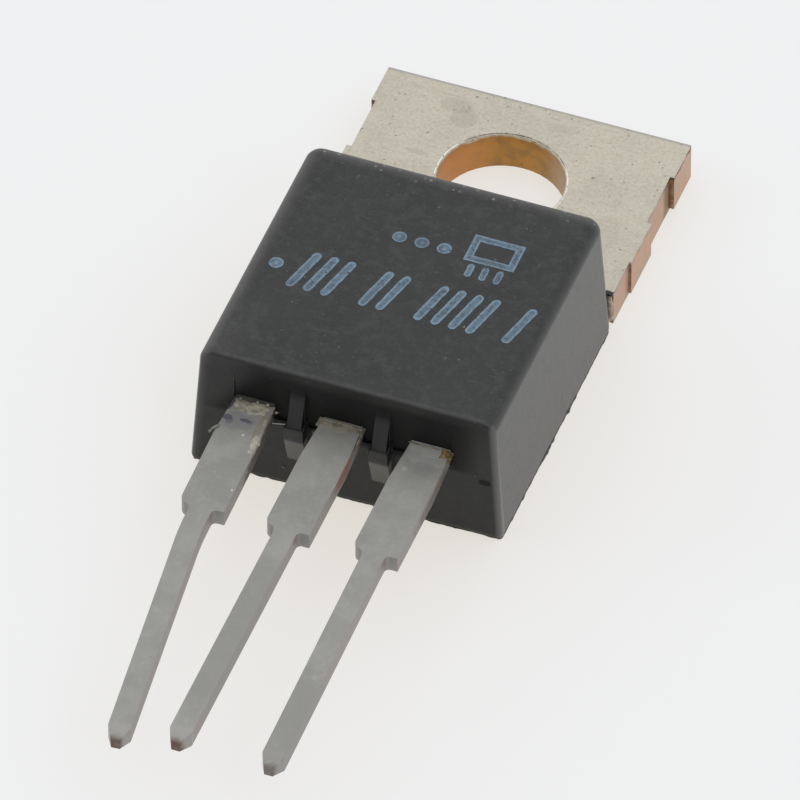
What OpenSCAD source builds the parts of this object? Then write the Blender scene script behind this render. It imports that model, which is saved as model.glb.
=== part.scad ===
// Power transistor in a tab package: an epoxy body moulded over a copper header, whose
// plated tab carries the mounting hole, and three flat leads in one row.
// X runs across the lead row, Y from the lead tips towards the tab's far end, and Z up
// from the back of the tab. The origin is on the hole's axis, in the plane of the back.
// All sizes are in millimetres and all angles in degrees.

/* [Tab] */
// Width of the tab across its far end
tab_width = 8.9; // [7.2:0.1:10.8]
// Thickness of the tab and of the header inside the body
tab_thickness = 1.2; // [0.8:0.05:1.6]
// Diameter of the mounting hole
hole_d = 3.6; // [2.8:0.1:4.4]
// From the hole's axis to the tab's far end
hole_to_end = 3.12; // [2.7:0.01:4]
// From the hole's axis to the base of the body
hole_to_body = 3.11; // [3:0.01:4.4]
// Length of the full-width strip at the far end
end_strip = 1.38; // [0.8:0.01:1.6]
// Depth of the relief in each long side behind that strip
relief_depth = 0.12; // [0.04:0.01:0.3]
// Length of that relief
relief_length = 1.9; // [1.2:0.05:2.2]
// Length of the sheared tie-bar stub on each long side
stub_length = 1.6; // [0.8:0.05:2]
// How far each stub stands out past the relief
stub_height = 0.14; // [0.04:0.01:0.3]
// Depth of the second relief, between the stub and the neck
second_relief = 0.06; // [0:0.01:0.2]
// Length of the narrower neck that shows in front of the body
neck_length = 0.08; // [0.04:0.01:0.3]

/* [Body] */
// Width of the body at its base
body_width = 9.08; // [7.6:0.01:10.8]
// Length of the body at its base
body_length = 8.91; // [7.4:0.01:10.6]
// Height of the body above the tab's back
body_height = 4.26; // [3.6:0.01:5.2]
// Sideways offset of the body from the tab's centre line
body_shift = -0.07; // [-0.15:0.01:0.15]
// Draft of the long sides
side_draft = 3.8; // [0.5:0.1:6]
// Draft of both ends
end_draft = 1.7; // [0.5:0.1:4]
// Rounding along the top edges of the sides and the tab end
top_radius = 0.4; // [0.1:0.02:0.6]
// Rounding along the top edge of the lead end, which is sharper
front_edge_radius = 0.08; // [0.04:0.01:0.3]
// Rounding along the base edges
base_radius = 0.22; // [0.05:0.01:0.3]
// Rounding of the two upright corners at the lead end
front_corner_radius = 0.17; // [0.1:0.01:0.5]
// Rounding of the two upright corners at the tab end
back_corner_radius = 0.44; // [0.1:0.01:0.8]

/* [Lead exits] */
// How far the shallow exit pocket reaches past the outer leads on each side
pocket_margin = 0.04; // [0.02:0.01:0.3]
// Depth of the pocket at the parting line
pocket_depth = 0.1; // [0.05:0.01:0.4]
// Solid band left between the pocket and the top of the body
pocket_band = 0.5; // [0.3:0.02:0.7]
// Distance between the two ribs
rib_spacing = 2.45; // [2.2:0.01:3]
// Sideways offset of the ribs from the lead row
rib_shift = -0.05; // [-0.15:0.01:0.15]
// Width of each rib above the leads
rib_width = 0.42; // [0.3:0.02:0.6]
// Width of each rib from the leads' level down
rib_base_width = 0.56; // [0.3:0.02:0.7]
// How far each rib stands out from the end of the body
rib_reach = 0.42; // [0.2:0.02:0.6]
// How much less the rib's upper wedge stands out
rib_inset = 0.06; // [0:0.01:0.15]
// Height of each rib above the leads
rib_rise = 0.85; // [0.4:0.05:1]
// Height of each rib below the leads
rib_fall = 1.42; // [0.8:0.02:1.8]
// Height of the blunt nose where each rib's dam bar was sheared off
rib_nose = 0.4; // [0.1:0.02:0.6]

/* [Leads] */
// Spacing of the leads
pitch = 2.54; // [2.3:0.01:3.05]
// Sideways offset of the lead row from the tab's centre line
row_shift = -0.17; // [-0.25:0.01:0.25]
// Thickness of the leads
lead_thickness = 0.5; // [0.35:0.01:0.6]
// Height of the leads' underside, level with the mould's parting line
lead_level = 2.4; // [2:0.01:2.9]
// Length of the straight leads in front of the body
lead_length = 12.7; // [10.5:0.1:15.2]
// Width of a lead where it leaves the body
root_width = 1.12; // [0.7:0.01:1.3]
// Width of the wide part of a lead
wide_width = 1.3; // [0.9:0.01:1.5]
// Width of the narrow part of a lead
narrow_width = 0.63; // [0.5:0.01:0.8]
// Distance over which a lead grows from its root to its full width
flare_length = 1.5; // [0.5:0.1:2]
// Length of the wide part in front of the body
wide_length = 4.28; // [3:0.02:5.2]
// Length of the tapered tip
tip_length = 0.42; // [0.2:0.02:0.8]
// Width of the flat cut end
tip_width = 0.24; // [0.1:0.02:0.4]
// Thickness of the flat cut end
tip_thickness = 0.26; // [0.1:0.02:0.4]

/* [Bent leads] */
// Angle at which the base lead leaves the body, towards the middle lead
exit_angle = 1.1; // [0:0.1:3]
// Further angle at which its narrow part leans towards the middle lead
lean_angle = 4.3; // [0:0.1:8]
// Angle at which its narrow part drops towards the back
drop_angle = 4.4; // [0:0.1:8]
// Angle at which the emitter lead's narrow part leans away from the middle lead
emitter_lean = 0.8; // [0:0.1:3]
// Radius of the bends
bend_radius = 12; // [4:0.5:20]
// Straight length between the wide part and the bend
bend_start = 0.5; // [0.2:0.1:2]

/* [Inside the body] */
// Epoxy left beside the header on each long side
header_wall = 0.95; // [0.6:0.05:1.3]
// Epoxy left between the header and the lead end of the body
header_setback = 2.2; // [2:0.05:2.6]
// Epoxy left beside the neck on each long side
neck_wall = 0.34; // [0.2:0.02:0.6]
// How far the neck runs into the body
neck_grip = 0.4; // [0.2:0.05:0.8]
// Width of the strap that lifts the middle lead off the header
strap_width = 1.6; // [1:0.1:1.9]
// Length of the strap's slope
strap_run = 0.9; // [0.6:0.05:1.1]
// Width of the bonding pad on each outer lead
pad_width = 1.7; // [1.2:0.05:1.9]
// Length of each bonding pad
pad_length = 1.2; // [0.9:0.05:1.4]
// Epoxy left between a bonding pad and the end of the body
pad_setback = 0.5; // [0.4:0.05:0.7]
// Diameter of the hole through each pad's stem that locks it into the epoxy
lock_hole_d = 0.4; // [0.2:0.05:0.5]
// Thinnest wall of epoxy left around anything buried in it
min_wall = 0.2; // [0.15:0.01:0.3]
// Side of the square transistor die
die_size = 2.4; // [1.5:0.1:3]
// Thickness of the die
die_thickness = 0.3; // [0.2:0.02:0.4]
// Thickness of the solder under the die
solder_thickness = 0.06; // [0.03:0.01:0.1]
// Margin of solder around the die
solder_margin = 0.12; // [0.05:0.01:0.3]
// Least distance between the solder and the foot of the middle lead's strap
die_clearance = 0.1; // [0.05:0.05:0.5]
// Diameter of the bond wires
wire_d = 0.25; // [0.15:0.01:0.35]
// Bend radius of the bond wires
wire_bend = 0.28; // [0.2:0.01:0.4]
// Height of the bond wires' run above the pads
wire_rise = 0.42; // [0.3:0.02:0.6]

/* [Hidden] */
$fn = 64;

tab_end = hole_to_end;
body_back = -hole_to_body;
body_front = body_back - body_length;
body_middle = (body_back + body_front) / 2;
parting = lead_level;
exit_y = front_face(parting);
corner_steps = 6;
base_steps = 4;
top_steps = 8;
least_corner = 0.06;

// The tab's outline, from its far end towards the body.
end_half = tab_width / 2;
relief_half = end_half - relief_depth;
stub_half = relief_half + stub_height;
second_half = stub_half - second_relief;
neck_half = min(second_half, body_width / 2 - abs(body_shift) - neck_wall);
header_half = min(neck_half, body_width / 2 - header_wall);
relief_start = tab_end - end_strip;
stub_start = relief_start - relief_length;
stub_end = stub_start - stub_length;
neck_start = body_back + neck_length;
neck_end = body_back - neck_grip;
header_front = body_front + header_setback;

// The leads, in the order base, collector, emitter.
base_x = row_shift - pitch;
collector_x = row_shift;
emitter_x = row_shift + pitch;
lead_top = lead_level + lead_thickness;
tail_length = lead_length - wide_length;
tip_overrun = 0.05;
root_overlap = 0.05;
bend_steps = 8;
step_width = (wide_width - narrow_width) / 2;
shoulder_radius = min(0.28, 0.9 * step_width);
web_radius = min(0.14, 0.8 * step_width);

// The bonding pads keep their wall of epoxy to the side of the body.
side_at_lead_top = body_width / 2 - abs(body_shift) - lead_top * tan(side_draft);
pad_half = min(pad_width / 2, side_at_lead_top - min_wall - pitch - abs(row_shift));
pad_middle = exit_y + pad_setback + pad_length / 2;

// The die stack and its wires. The die lies mid-body, or further back where the strap is near.
solder_side = die_size + 2 * solder_margin;
strap_foot = header_front + lead_thickness / 2;
die_y = max(body_middle, strap_foot + die_clearance + solder_side / 2);
solder_top = tab_thickness + solder_thickness;
die_top = solder_top + die_thickness;
bond_inset = die_size / 4;
wire_axis = min(lead_top + wire_rise, body_height - min_wall - wire_d / 2);

// Longer than any section through the part.
through = 60;

function front_face(z) = body_front + z * tan(end_draft);
function back_face(z) = body_back - z * tan(end_draft);

// Turns a section drawn as Y and Z into a bar along X.
module along_x(length) {
    rotate([90, 0, 90])
        linear_extrude(height = length, center = true)
            children();
}

// The sliver between a square corner at the origin and a circle that rounds it.
module corner_sliver(r) {
    difference() {
        square(r);
        translate([r, r])
            circle(r);
    }
}

// A quarter circle of points around a centre, from the angle start on.
function corner_arc(centre, r, start) = [
    for (i = [0:corner_steps])
        let (a = start + 90 * i / corner_steps)
            centre + r * [cos(a), sin(a)]
];

// How far a rounding of radius r is inside a drafted face where its normal rises by a.
function edge_inset(r, a, draft = side_draft) =
    r * (1 / cos(draft) - cos(a) - sin(a) * tan(draft));

// How far the top edge's rounding at the lead end is inside that face at height z.
function front_inset(z) =
    let (rise = 1 - (body_height - z) / front_edge_radius)
    rise > sin(end_draft) ? edge_inset(front_edge_radius, asin(min(rise, 1)), end_draft) : 0;

// The body's outline at height z, brought in by inset, and by near_inset at the lead end.
function body_ring(z, inset, near_inset) =
    let (
        half = body_width / 2 - z * tan(side_draft) - inset,
        near = front_face(z) + near_inset,
        far = back_face(z) - inset,
        rn = max(front_corner_radius - near_inset, least_corner),
        rf = max(back_corner_radius - inset, least_corner)
    )
    [
        for (p = concat(
            corner_arc([half - rf, far - rf], rf, 0),
            corner_arc([rf - half, far - rf], rf, 90),
            corner_arc([rn - half, near + rn], rn, 180),
            corner_arc([half - rn, near + rn], rn, 270)
        ))
            [p.x + body_shift, p.y, z]
    ];

// The moulded block: drafted on all four sides, with every edge rounded.
module body_shell() {
    base = [
        for (i = [0:base_steps])
            let (
                a = side_draft - (base_steps - i) * (90 + side_draft) / base_steps,
                inset = edge_inset(base_radius, a)
            )
                body_ring(base_radius * (1 + sin(a)), inset, inset)
    ];
    top = [
        for (i = [0:top_steps])
            let (
                a = side_draft + i * (90 - side_draft) / top_steps,
                z = body_height - top_radius * (1 - sin(a))
            )
                body_ring(z, edge_inset(top_radius, a), front_inset(z))
    ];
    rings = concat(base, top);
    count = len(rings[0]);
    last = len(rings) - 1;
    sides = [
        for (j = [0:last - 1], i = [0:count - 1])
            let (k = (i + 1) % count, low = j * count, high = low + count)
                [low + i, high + i, high + k, low + k]
    ];
    bottom = [for (i = [0:count - 1]) i];
    lid = [for (i = [count - 1:-1:0]) last * count + i];
    polyhedron([for (ring = rings) each ring], concat([bottom, lid], sides));
}

// The recess in the upper half that the leads come out of.
module exit_pocket() {
    top = body_height - pocket_band;
    translate([row_shift, 0, 0])
        along_x(2 * (pitch + pocket_margin) + root_width)
            polygon([
                [body_front - 1, parting], [exit_y + pocket_depth, parting],
                [front_face(top), top], [body_front - 1, top]
            ]);
}

// A rib between two leads: a narrow wedge above, a wider one below, and a blunt nose.
module exit_rib(x) {
    root = exit_y + 1;
    nose = exit_y - rib_reach;
    nose_top = parting + rib_nose / 2;
    top = min(lead_top + rib_rise, body_height - top_radius);
    bottom = max(parting - rib_fall, base_radius + min_wall);
    translate([x, 0, 0]) {
        along_x(rib_width)
            polygon([
                [root, top], [front_face(top), top], [nose + rib_inset, nose_top],
                [nose + rib_inset, parting], [root, parting]
            ]);
        along_x(rib_base_width)
            polygon([
                [root, nose_top], [nose, nose_top], [nose, parting - rib_nose / 2],
                [front_face(bottom), bottom], [root, bottom]
            ]);
    }
}

module moulded_body() {
    color("#3f4141")
        difference() {
            union() {
                difference() {
                    body_shell();
                    exit_pocket();
                }
                for (side = [-1, 1])
                    exit_rib(row_shift + rib_shift + side * rib_spacing / 2);
            }
            header_tab();
            base_lead();
            emitter_lead();
            transistor_die();
            die_solder();
            base_wire();
            emitter_wire();
        }
}

// Half of the tab and header seen from above, on the +X side.
module half_plate() {
    polygon([
        [0, tab_end], [end_half, tab_end], [end_half, relief_start],
        [relief_half, relief_start], [relief_half, stub_start],
        [stub_half, stub_start], [stub_half, stub_end],
        [second_half, stub_end], [second_half, neck_start],
        [neck_half, neck_start], [neck_half, neck_end],
        [header_half, neck_end], [header_half, header_front], [0, header_front]
    ]);
}

// The strap that leaves the header's front end and rises to the middle lead.
module strap() {
    low = tab_thickness - lead_thickness;
    inner = header_front + lead_thickness;
    outer = header_front - strap_run;
    translate([collector_x, 0, 0])
        along_x(strap_width)
            polygon([
                [inner, low], [header_front, low], [outer, lead_level],
                [outer - lead_thickness, lead_level], [outer - lead_thickness, lead_top],
                [outer + lead_thickness / 2, lead_top],
                [strap_foot, tab_thickness], [inner, tab_thickness]
            ]);
}

module header_tab() {
    color("#c5c1b2")
        union() {
            difference() {
                linear_extrude(height = tab_thickness) {
                    half_plate();
                    mirror([1, 0])
                        half_plate();
                }
                translate([0, 0, -1])
                    cylinder(h = tab_thickness + 2, d = hole_d);
            }
            strap();
            lead(collector_x, 0, 0, 0)
                translate([-root_width / 2, 0])
                    square([root_width, header_front - strap_run - lead_thickness / 2 - exit_y]);
        }
}

// Points along a lead's narrow part at a sideways offset from its centre line: the start,
// the bend towards +X, and the place where the tip starts to taper.
function edge_points(offset, bend, length) =
    let (
        steps = bend > 0 ? bend_steps : 0,
        tail = length - bend_start - bend_radius * sin(bend) - tip_length,
        along = [sin(bend), -cos(bend)],
        arc = [
            for (i = [0:steps])
                let (a = i * bend / max(steps, 1), r = bend_radius - offset)
                    [bend_radius - r * cos(a), -bend_start - r * sin(a)]
        ]
    )
    concat([[offset, 0]], arc, [arc[steps] + tail * along]);

// The corner of the flat cut end at a sideways offset from the centre line.
function tip_point(offset, bend, length) =
    let (
        tail = length - bend_start - bend_radius * sin(bend),
        centre = [bend_radius * (1 - cos(bend)), -bend_start - bend_radius * sin(bend)]
    )
    centre + [tail * sin(bend) + offset * cos(bend), offset * sin(bend) - tail * cos(bend)];

// The narrow part drawn from the origin towards -Y, down to its tapered tip.
module narrow_outline(width, bend, length, end_width) {
    right = edge_points(width / 2, bend, length);
    left = edge_points(-width / 2, bend, length);
    tip = [tip_point(end_width / 2, bend, length), tip_point(-end_width / 2, bend, length)];
    polygon(concat(right, tip, [for (i = [len(left) - 1:-1:0]) left[i]]));
}

// The wide part in front of the body, down to the fillets where the narrow part starts.
// Its -X shoulder is round and its +X one is square.
module wide_outline() {
    half = wide_width / 2;
    web = narrow_width / 2 + web_radius;
    difference() {
        polygon([
            [-root_width / 2, root_overlap], [root_width / 2, root_overlap], [half, -flare_length],
            [half, -wide_length], [web, -wide_length], [web, -wide_length - web_radius],
            [-web, -wide_length - web_radius], [-web, -wide_length],
            [-half, -wide_length], [-half, -flare_length]
        ]);
        for (s = [-1, 1])
            translate([s * web, -wide_length - web_radius])
                circle(web_radius);
        translate([-half, -wide_length])
            corner_sliver(shoulder_radius);
    }
}

// A lead from the end of the body to its tip, which leaves the body at the angle turn. The
// children are its outline inside the body.
module lead(x, turn, lean, drop) {
    translate([x, exit_y, lead_level]) {
        linear_extrude(height = lead_thickness)
            children();
        rotate(turn) {
            linear_extrude(height = lead_thickness)
                wide_outline();
            translate([0, -wide_length, lead_thickness / 2])
                intersection() {
                    linear_extrude(height = through, center = true)
                        narrow_outline(narrow_width, lean, tail_length, tip_width);
                    rotate([0, 90, 0])
                        linear_extrude(height = through, center = true)
                            narrow_outline(lead_thickness, drop, tail_length + tip_overrun, tip_thickness);
                }
        }
    }
}

// The stem, locking hole and bonding pad of an outer lead.
module bonding_pad() {
    difference() {
        union() {
            translate([-root_width / 2, 0])
                square([root_width, pad_setback + pad_length / 2]);
            translate([-pad_half, pad_setback])
                square([2 * pad_half, pad_length]);
        }
        translate([0, pad_setback])
            circle(d = lock_hole_d);
    }
}

module base_lead() {
    color("#8c8b86")
        lead(base_x, exit_angle, lean_angle, drop_angle)
            bonding_pad();
}

module emitter_lead() {
    color("#8c8b86")
        lead(emitter_x, 0, emitter_lean, 0)
            bonding_pad();
}

module die_solder() {
    color("#9a9a9c")
        translate([-solder_side / 2, die_y - solder_side / 2, tab_thickness])
            cube([solder_side, solder_side, solder_thickness]);
}

module transistor_die() {
    color("#5a5f6a")
        translate([-die_size / 2, die_y - die_size / 2, solder_top])
            cube([die_size, die_size, die_thickness]);
}

// A wire that rises from the die, runs level and comes down on a bonding pad.
module bond_wire(start, end) {
    run = end - start;
    length = norm(run);
    bend_z = wire_axis - wire_bend;
    color("#c9c9cc")
        translate([start.x, start.y, 0])
            rotate(atan2(run.y, run.x)) {
                translate([0, 0, die_top])
                    cylinder(h = bend_z - die_top, d = wire_d);
                translate([wire_bend, 0, bend_z])
                    mirror([1, 0, 0])
                        wire_elbow();
                translate([wire_bend, 0, wire_axis])
                    rotate([0, 90, 0])
                        cylinder(h = length - 2 * wire_bend, d = wire_d);
                translate([length - wire_bend, 0, bend_z])
                    wire_elbow();
                translate([length, 0, lead_top])
                    cylinder(h = bend_z - lead_top, d = wire_d);
            }
}

// A quarter turn from straight up at +X to level at the top.
module wire_elbow() {
    rotate([90, 0, 0])
        rotate_extrude(angle = 90)
            translate([wire_bend, 0])
                circle(d = wire_d);
}

module base_wire() {
    bond_wire([-bond_inset, die_y - bond_inset], [base_x, pad_middle]);
}

module emitter_wire() {
    bond_wire([bond_inset, die_y - bond_inset], [emitter_x, pad_middle]);
}

moulded_body();
header_tab();
base_lead();
emitter_lead();
transistor_die();
die_solder();
base_wire();
emitter_wire();
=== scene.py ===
"""Looks of a power transistor in a tab package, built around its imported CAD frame.

Lengths are given in millimetres and turned into metres by MM. X runs across the leads, Y
towards the tab's far end and Z up from the tab's back, as in the frame.
"""
import math

import bmesh
import bpy
from mathutils import Matrix, Vector, noise


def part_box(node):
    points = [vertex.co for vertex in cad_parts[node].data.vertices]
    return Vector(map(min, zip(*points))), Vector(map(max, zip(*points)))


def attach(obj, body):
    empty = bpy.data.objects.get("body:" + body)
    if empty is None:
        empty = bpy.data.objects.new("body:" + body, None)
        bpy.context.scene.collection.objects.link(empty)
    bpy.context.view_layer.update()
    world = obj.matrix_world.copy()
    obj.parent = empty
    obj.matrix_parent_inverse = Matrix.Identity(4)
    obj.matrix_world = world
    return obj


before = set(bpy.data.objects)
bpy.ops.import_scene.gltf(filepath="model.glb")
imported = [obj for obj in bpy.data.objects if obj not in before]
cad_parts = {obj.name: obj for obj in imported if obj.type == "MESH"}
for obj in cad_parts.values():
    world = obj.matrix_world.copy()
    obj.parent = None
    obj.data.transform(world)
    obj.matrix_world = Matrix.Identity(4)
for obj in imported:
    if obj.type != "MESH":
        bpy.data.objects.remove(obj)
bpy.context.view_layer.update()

MM = 0.001
BODY_LOW, BODY_HIGH = (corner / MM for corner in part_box("moulded_body"))
TAB_LOW, TAB_HIGH = (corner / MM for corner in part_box("header_tab"))

# The body's lead end at its base and at the leads, which its own box hides behind the ribs.
END_Y = -12.02
EXIT_Y = -11.95
BODY_TOP = BODY_HIGH.z
# The lean of the body's long sides, and how its corners are rounded at the lead and far ends.
SIDE_DRAFT = math.radians(3.8)
CORNER_RADII = (0.17, 0.44)
# The middles of the two ribs between the leads.
RIB_X = (-1.445, 1.005)
TAB_TOP = 1.2
HOLE_RADIUS = 1.8
LEAD_TOP = TAB_HIGH.z
# How far the base lead's top face falls for each millimetre away from the body.
BASE_LEAD_FALL = 0.019
# Where, along Y, the centre lead takes over from the plating, shade is painted on a lead
# towards the body, and light is painted on it as it narrows.
JOIN_Y = (-9.0, -9.5)
ROOT_Y = (-14.2, -12.0)
SHOULDER_Y = (-15.8, -17.2)

# ---------------------------------------------------------------- camera and light

AZIMUTH = math.radians(20.49)
ELEVATION = math.radians(45.12)
ROLL = math.radians(-0.07)
CAMERA_TARGET = Vector((-0.036, -7.846, 0))
CAMERA_DISTANCE = 567.8
CAMERA_LENS = 935.3
SENSOR_WIDTH = 36
LIGHT_DISTANCE = 400
# Each soft box: a name, the way to it from the part, its size, and its brightness as a multiple
# of paper white.
SOFTBOXES = (
    ("left_box", (-0.87, -0.22, 0.38), 180, 2.5),
    ("right_box", (0.53, -0.45, 0.65), 120, 2.5),
)
# The way to the tent's brightest place, and how its brightness rises towards it.
TENT_BRIGHTEST = (0, 0.75, 0.66)
TENT_RAMP = {"From Min": -0.55, "From Max": 0.75, "To Min": 0.3, "To Max": 1.0}
PAPER_WHITE = 0.857
FLOOR_GLOW = 0.8
FLOOR_HALF = 3000


def make_camera():
    camera = bpy.data.objects.new("camera", bpy.data.cameras.new("camera"))
    camera.data.lens = CAMERA_LENS
    camera.data.sensor_width = SENSOR_WIDTH
    camera.data.clip_start = 0.05
    camera.data.clip_end = 20
    back = Vector((
        math.sin(AZIMUTH) * math.cos(ELEVATION),
        -math.cos(AZIMUTH) * math.cos(ELEVATION),
        math.sin(ELEVATION),
    ))
    camera.location = (CAMERA_TARGET + back * CAMERA_DISTANCE) * MM
    turn = back.to_track_quat("Z", "Y") @ Matrix.Rotation(ROLL, 3, "Z").to_quaternion()
    camera.rotation_euler = turn.to_euler()
    bpy.context.scene.collection.objects.link(camera)
    bpy.context.scene.camera = camera


def make_world():
    """A white tent that is bright overhead and behind the part and dimmer in front of it."""
    world = bpy.data.worlds.new("studio")
    bpy.context.scene.world = world
    world.use_nodes = True
    tree = world.node_tree
    background = tree.nodes["Background"]
    background.inputs["Color"].default_value = (1, 1, 1, 1)
    coords = tree.nodes.new("ShaderNodeTexCoord")
    height = tree.nodes.new("ShaderNodeVectorMath")
    height.operation = "DOT_PRODUCT"
    height.inputs[1].default_value = TENT_BRIGHTEST
    tree.links.new(coords.outputs["Generated"], height.inputs[0])
    ramp = tree.nodes.new("ShaderNodeMapRange")
    ramp.interpolation_type = "SMOOTHSTEP"
    for name, value in TENT_RAMP.items():
        ramp.inputs[name].default_value = value
    tree.links.new(height.outputs["Value"], ramp.inputs["Value"])
    tree.links.new(ramp.outputs["Result"], background.inputs["Strength"])


def make_softbox(name, direction, size, brightness):
    """A square soft box that faces the part."""
    away = Vector(direction).normalized()
    light = bpy.data.objects.new(name, bpy.data.lights.new(name, "AREA"))
    light.data.shape = "SQUARE"
    light.data.size = size * MM
    light.data.energy = brightness * math.pi * (size * MM) ** 2
    light.location = (CAMERA_TARGET + away * LIGHT_DISTANCE) * MM
    light.rotation_euler = away.to_track_quat("Z", "Y").to_euler()
    bpy.context.scene.collection.objects.link(light)


# ---------------------------------------------------------------- material graphs


class Surface:
    """A material under construction. Its helpers add and link nodes, and work in millimetres."""

    def __init__(self, name):
        self.material = bpy.data.materials.new(name)
        self.material.use_nodes = True
        self.tree = self.material.node_tree
        self.shader = self.tree.nodes["Principled BSDF"]
        coords = self.add("TexCoord")
        self.normal = self.split(coords.outputs["Normal"])
        self.mm = self.add("VectorMath", operation="SCALE", Vector=coords.outputs["Object"],
                           Scale=1 / MM).outputs["Vector"]
        self.x, self.y, self.z = self.split(self.mm)

    def add(self, kind, **values):
        """Adds a node. A value named in lower case is a setting, and any other is an input."""
        node = self.tree.nodes.new("ShaderNode" + kind)
        for key, value in values.items():
            if key[0].islower():
                setattr(node, key, value)
        for key, value in values.items():
            if not key[0].islower():
                self.put(node.inputs[key], value)
        return node

    def put(self, socket, value):
        if isinstance(value, bpy.types.NodeSocket):
            self.tree.links.new(value, socket)
        else:
            socket.default_value = value

    def set(self, **values):
        """Sets the shader's inputs, named with _ for each space."""
        for key, value in values.items():
            self.put(self.shader.inputs[key.replace("_", " ")], value)

    def split(self, vector):
        parts = self.add("SeparateXYZ", Vector=vector)
        return parts.outputs["X"], parts.outputs["Y"], parts.outputs["Z"]

    def math(self, operation, a, b=0.0, c=0.0):
        node = self.tree.nodes.new("ShaderNodeMath")
        node.operation = operation
        for socket, value in zip(node.inputs, (a, b, c)):
            self.put(socket, value)
        return node.outputs["Value"]

    def away(self, value, middle=0.0):
        """How far a value lies from a middle, on either side of it."""
        return self.math("ABSOLUTE", self.math("SUBTRACT", value, middle))

    def place(self, stretch=(1, 1, 1), shift=(0, 0, 0), turn=0.0):
        """The millimetre coordinates, scaled along each axis, turned about Z and shifted."""
        node = self.add("Mapping", Vector=self.mm, Scale=stretch, Location=shift,
                        Rotation=(0, 0, math.radians(turn)))
        return node.outputs["Vector"]

    def noise(self, scale, detail=2.0, roughness=0.5, vector=None, warp=0.0):
        node = self.add("TexNoise", Vector=vector or self.mm, Scale=scale, Detail=detail,
                        Roughness=roughness, Distortion=warp)
        return node.outputs["Fac"]

    def cells(self, scale, vector=None):
        """Distance to the nearest cell centre, and a random value for each cell."""
        node = self.add("TexVoronoi", Vector=vector or self.mm, Scale=scale)
        parts = self.add("SeparateColor", Color=node.outputs["Color"])
        return node.outputs["Distance"], parts.outputs["Red"]

    def between(self, value, low, high):
        """0 at low and 1 at high, with a smooth step between them. Low may be the larger."""
        flip = low > high
        node = self.add("MapRange", interpolation_type="SMOOTHSTEP", Value=value)
        self.put(node.inputs["From Min"], min(low, high))
        self.put(node.inputs["From Max"], max(low, high))
        self.put(node.inputs["To Min"], 1.0 if flip else 0.0)
        self.put(node.inputs["To Max"], 0.0 if flip else 1.0)
        return node.outputs["Result"]

    def times(self, *values):
        product = values[0]
        for value in values[1:]:
            product = self.math("MULTIPLY", product, value)
        return product

    def plus(self, *values):
        total = values[0]
        for value in values[1:]:
            total = self.math("ADD", total, value)
        return total

    def most(self, *values):
        largest = values[0]
        for value in values[1:]:
            largest = self.math("MAXIMUM", largest, value)
        return largest

    def specks(self, per_mm, size, share, shift=0.0):
        """A mask of round specks of a size in millimetres, in a share of a pattern's cells."""
        distance, chance = self.cells(per_mm, self.place(shift=(shift, shift, shift)))
        spot = self.between(distance, 0.5 * size * per_mm, 0.2 * size * per_mm)
        return self.times(spot, self.math("LESS_THAN", chance, share))

    def spot(self, centre, reach, ragged=0.35):
        """A ragged patch of that reach along each axis. A reach of None leaves its axis out."""
        total = self.times(self.noise(5, 3), 2 * ragged)
        for value, middle, far in zip((self.x, self.y, self.z), centre, reach):
            if far is not None:
                off = self.math("DIVIDE", self.math("SUBTRACT", value, middle), far)
                total = self.plus(total, self.times(off, off))
        return self.between(total, 1.0 + ragged, 0.5 + ragged)

    def mix(self, factor, a, b):
        """Colour a where the factor is 0 and b where it is 1."""
        node = self.add("Mix", data_type="RGBA")
        colours = [s for s in node.inputs if s.type == "RGBA"]
        self.put(node.inputs[0], factor)
        for socket, colour in zip(colours, (a, b)):
            self.put(socket, colour if isinstance(colour, bpy.types.NodeSocket) else (*colour, 1))
        return [s for s in node.outputs if s.type == "RGBA"][0]

    def coat(self, colour, new, *masks):
        """The colour, covered by the new one as far as the product of the masks goes."""
        return self.mix(self.times(*masks), colour, new)

    def blend(self, factor, a, b):
        """Number a where the factor is 0 and b where it is 1."""
        node = self.add("MapRange", Value=factor)
        self.put(node.inputs["To Min"], a)
        self.put(node.inputs["To Max"], b)
        return node.outputs["Result"]

    def bump(self, height, depth):
        """Bends the surface by a height pattern that is depth millimetres deep."""
        node = self.add("Bump", Height=height, Distance=depth * MM)
        self.put(self.shader.inputs["Normal"], node.outputs["Normal"])


# ---------------------------------------------------------------- materials

EPOXY = (0.0235, 0.025, 0.0248)
PLATING = (0.575, 0.535, 0.45)
COPPER = (0.606, 0.379, 0.273)
DULL_TIN = (0.26, 0.258, 0.245)
BLUE_SMUDGE = (0.065, 0.062, 0.095)
FAINT_SMUDGE = (0.085, 0.082, 0.11)
ROOT_CORNER_DARK = (0.045, 0.043, 0.04)
EPOXY_IOR = 1.47
# The soiled tin of the leads and the copper at the tab's neck are duller than clean metal.
SOILED_METALLIC = 0.2
# How deep the relief of each kind of surface is.
EPOXY_RELIEF = 0.008
METAL_RELIEF = 0.012
DEPOSIT_RELIEF = 0.01
INK_RELIEF = 0.006


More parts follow.
